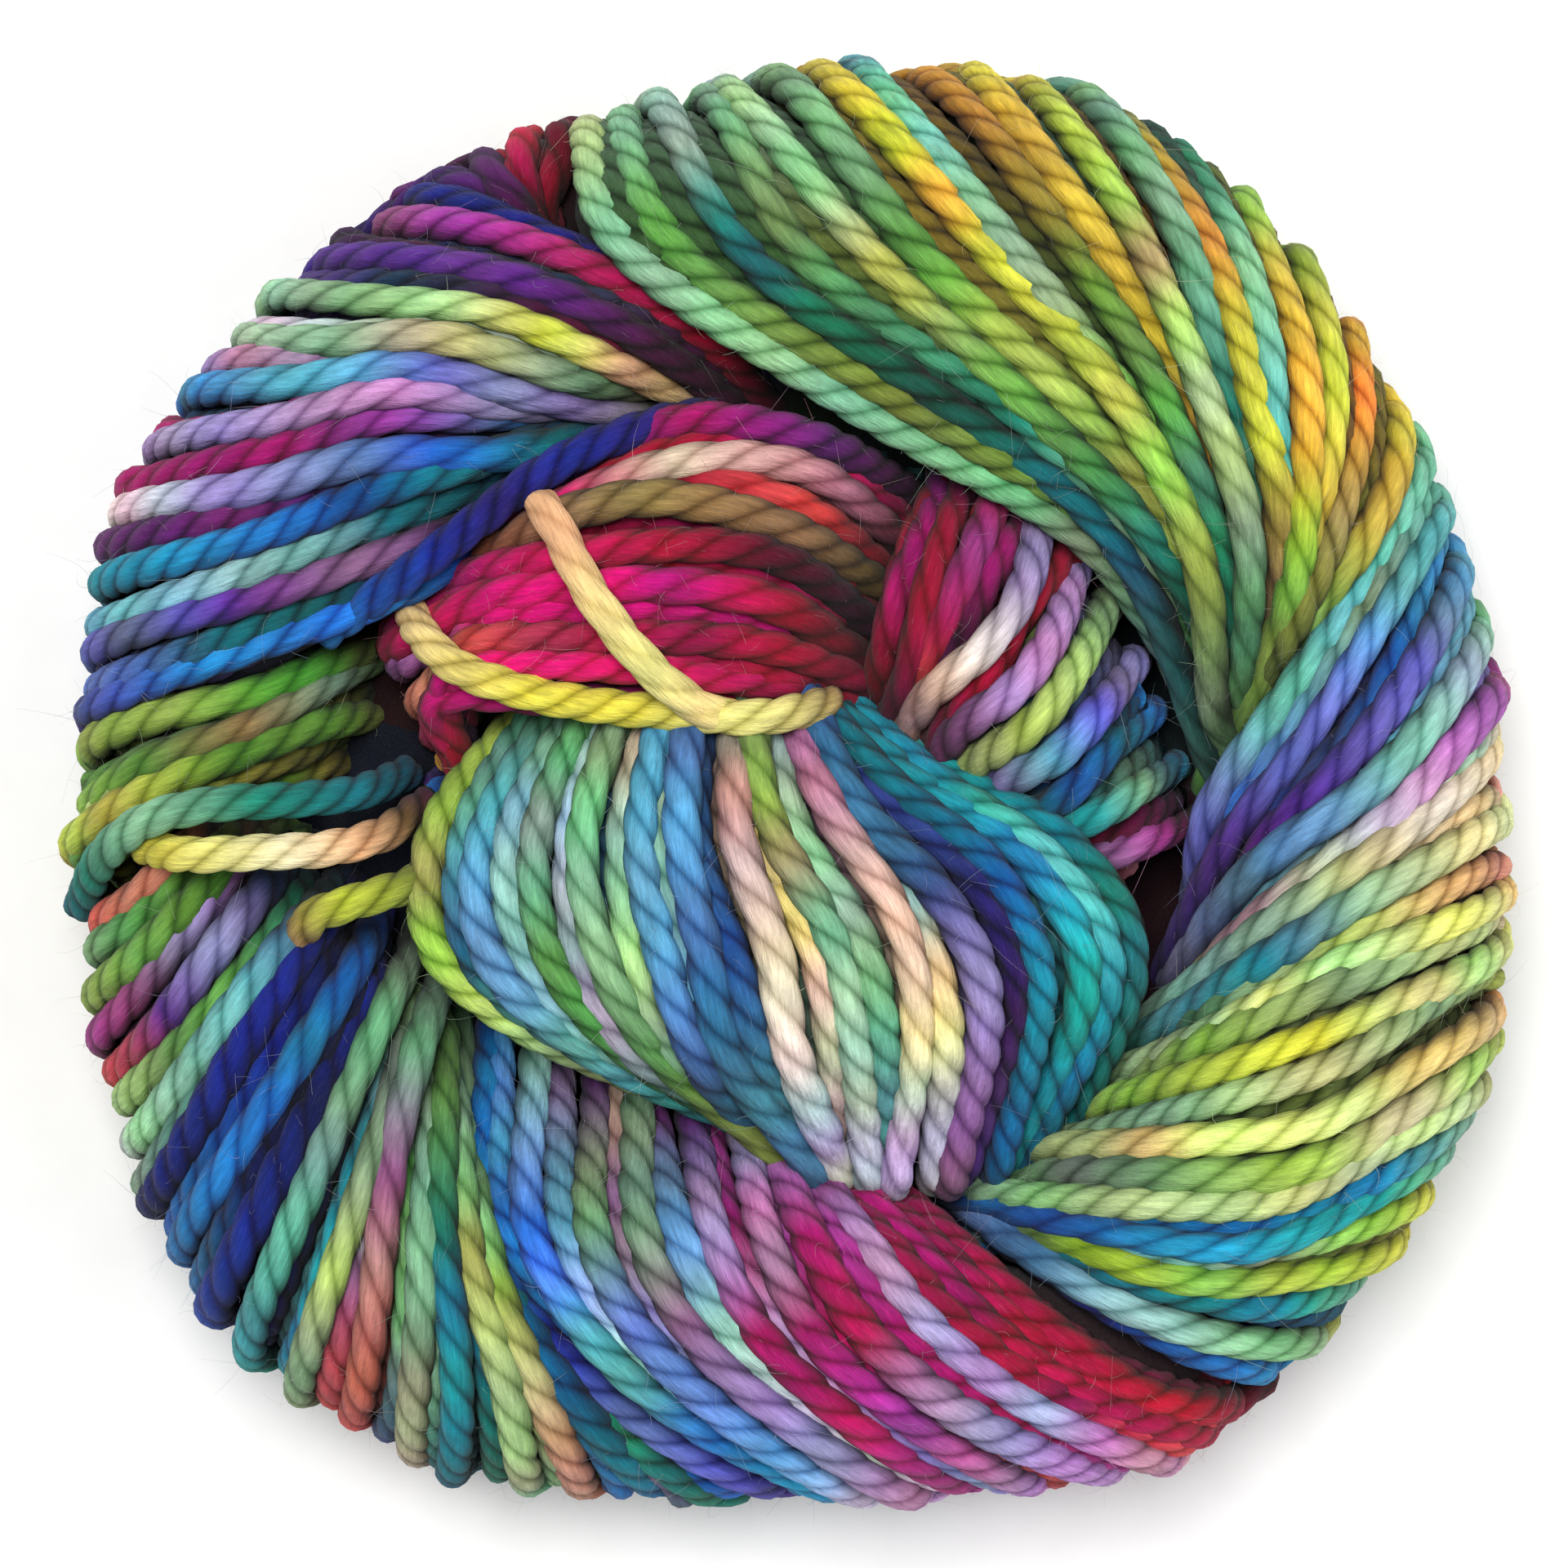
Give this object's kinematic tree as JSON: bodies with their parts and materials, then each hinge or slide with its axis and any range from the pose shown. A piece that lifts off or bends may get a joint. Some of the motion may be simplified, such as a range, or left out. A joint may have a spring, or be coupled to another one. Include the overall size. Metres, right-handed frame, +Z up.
{
  "type": "knitting yarn hank",
  "caption": "Hank of thick plied wool, dyed in many colours, twisted on itself and coiled into a round flat nest, with a short loose end on top.",
  "frame": {"origin": "middle of the bounding box seen from above, on the surface that the nest rests on", "axes": "+Z up out of the nest, +Y towards the top of the picture, +X towards its right"},
  "size_m": [0.1489, 0.1489, 0.0504],
  "materials": {
    "dyed_wool": "soft plied wool in bands of teal, blue, green, yellow, magenta and violet, matt with fine loose fibres",
    "pale_dyed_wool": "soft plied wool, cream to pale yellow, matt with fine loose fibres"
  },
  "bodies": {
    "root": {"hank": "dyed_wool", "loose_end": "pale_dyed_wool"}
  },
  "joints": []
}
